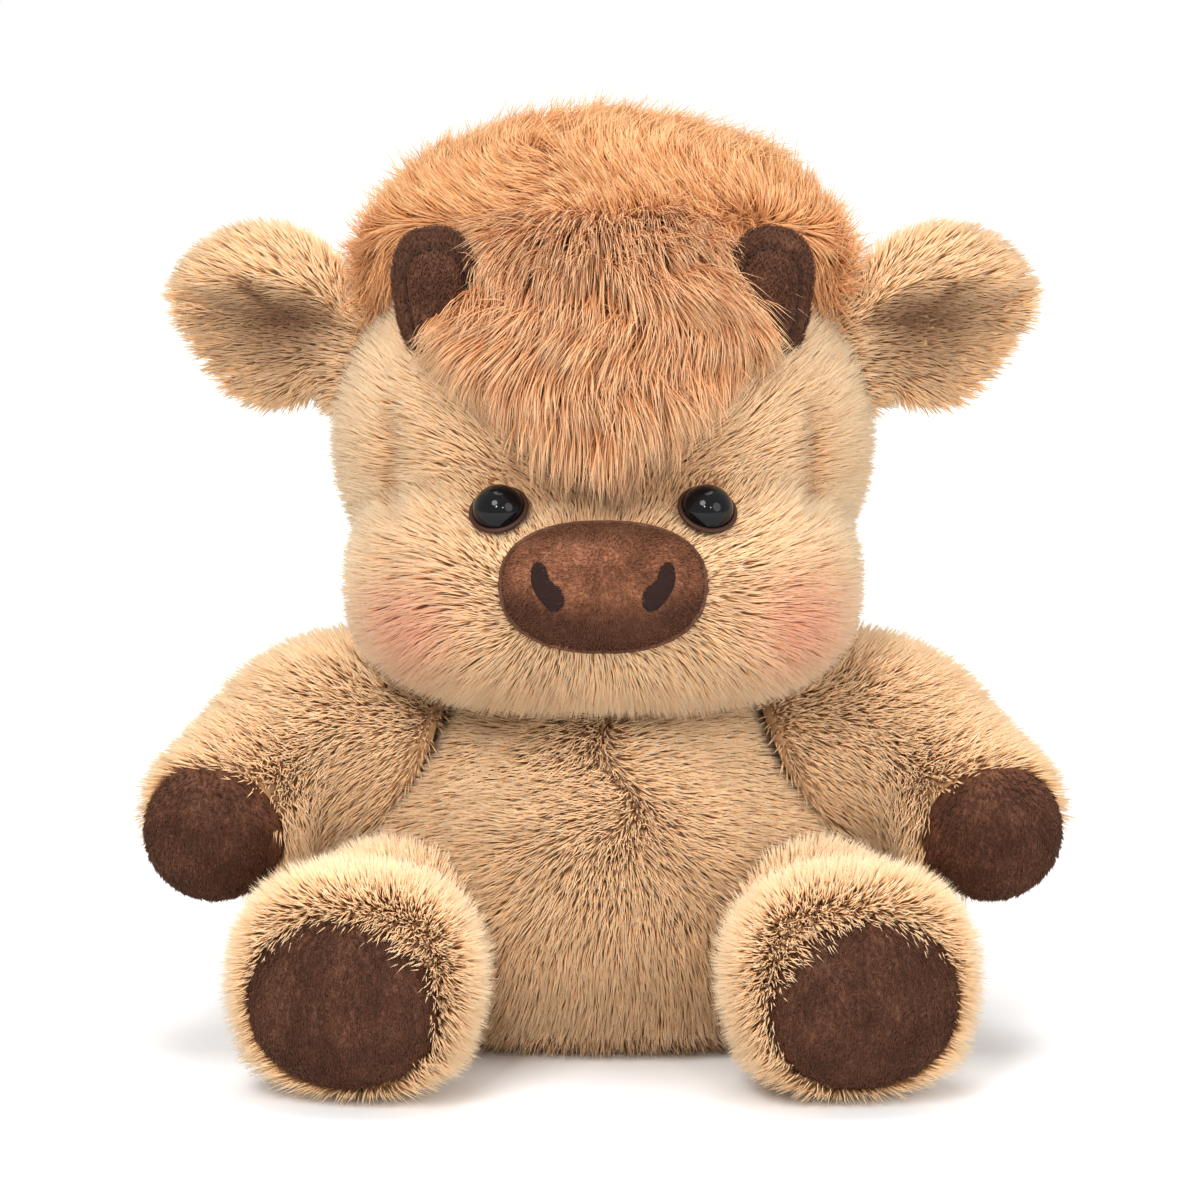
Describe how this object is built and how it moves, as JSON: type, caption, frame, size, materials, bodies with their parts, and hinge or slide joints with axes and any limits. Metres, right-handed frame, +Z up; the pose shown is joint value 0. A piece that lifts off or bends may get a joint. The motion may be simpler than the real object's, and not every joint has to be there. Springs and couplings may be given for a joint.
{
  "type": "plush cow",
  "caption": "Seated plush cow with long-haired crown, short horns, brown nose and pads, and a head, arms, legs, ears and tail that turn at their seams.",
  "frame": {"origin": "on the floor under the neck, on the flat of the seat", "axes": "+Z up, the face looks towards -Y, +X is the toy's own left side"},
  "size_m": [0.2534, 0.2085, 0.252],
  "materials": {
    "fur": "dense soft pile, 8 mm",
    "long_hair": "long coarse pile",
    "short_plush": "short-nap plush",
    "thread": "embroidered thread",
    "eye": "polished",
    "washer": "moulded",
    "fibre": "loose fibre filling",
    "pellets": "cloth bag of plastic pellets"
  },
  "bodies": {
    "torso": {"torso_cover": "fur", "torso_filling": "fibre", "pellet_bag": "pellets"},
    "head": {"head_cover": "fur", "head_filling": "fibre", "crown_tuft": "long_hair", "forelock": "long_hair", "horn_left": "short_plush", "horn_right": "short_plush", "nose_pad": "short_plush", "nostril_left": "thread", "nostril_right": "thread", "eye_left": "eye", "eye_right": "eye", "eye_washer_left": "washer", "eye_washer_right": "washer"},
    "ear_left": {"ear_left_back": "fur", "ear_left_lining": "fur"},
    "ear_right": {"ear_right_back": "fur", "ear_right_lining": "fur"},
    "arm_left": {"arm_left_cover": "fur", "arm_left_filling": "fibre", "hand_pad_left": "short_plush"},
    "arm_right": {"arm_right_cover": "fur", "arm_right_filling": "fibre", "hand_pad_right": "short_plush"},
    "leg_left": {"leg_left_cover": "fur", "leg_left_filling": "fibre", "sole_pad_left": "short_plush"},
    "leg_right": {"leg_right_cover": "fur", "leg_right_filling": "fibre", "sole_pad_right": "short_plush"},
    "tail": {"tail": "fur", "tail_tuft": "long_hair"}
  },
  "joints": [
    {"name": "head_turn", "type": "hinge", "parent": "torso", "child": "head", "pos_m": [0, 0, 0.114], "axis": [0, 0, 1], "range_deg": [-10, 10], "stiffness_Nm_per_rad": 0.3},
    {"name": "ear_left_fold", "type": "hinge", "parent": "head", "child": "ear_left", "pos_m": [0.0668, 0.008, 0.184], "axis": [-0.2924, 0, 0.9563], "range_deg": [-15, 15], "stiffness_Nm_per_rad": 0.02},
    {"name": "ear_right_fold", "type": "hinge", "parent": "head", "child": "ear_right", "pos_m": [-0.0668, 0.008, 0.184], "axis": [-0.2924, 0, -0.9563], "range_deg": [-15, 15], "stiffness_Nm_per_rad": 0.02},
    {"name": "arm_left_swing", "type": "hinge", "parent": "torso", "child": "arm_left", "pos_m": [0.05677, 0, 0.071], "axis": [-0.9135, 0, -0.4067], "range_deg": [-15, 35], "stiffness_Nm_per_rad": 0.15},
    {"name": "arm_right_swing", "type": "hinge", "parent": "torso", "child": "arm_right", "pos_m": [-0.05677, 0, 0.071], "axis": [-0.9135, 0, 0.4067], "range_deg": [-15, 35], "stiffness_Nm_per_rad": 0.15},
    {"name": "leg_left_lift", "type": "hinge", "parent": "torso", "child": "leg_left", "pos_m": [0.056, -0.044, 0.064], "axis": [-1, 0, 0], "range_deg": [0, 25], "stiffness_Nm_per_rad": 0.05},
    {"name": "leg_right_lift", "type": "hinge", "parent": "torso", "child": "leg_right", "pos_m": [-0.056, -0.044, 0.064], "axis": [-1, 0, 0], "range_deg": [0, 25], "stiffness_Nm_per_rad": 0.05},
    {"name": "tail_lift", "type": "hinge", "parent": "torso", "child": "tail", "pos_m": [0, 0.05739, 0.04], "axis": [1, 0, 0], "range_deg": [0, 50], "stiffness_Nm_per_rad": 0.01}
  ]
}
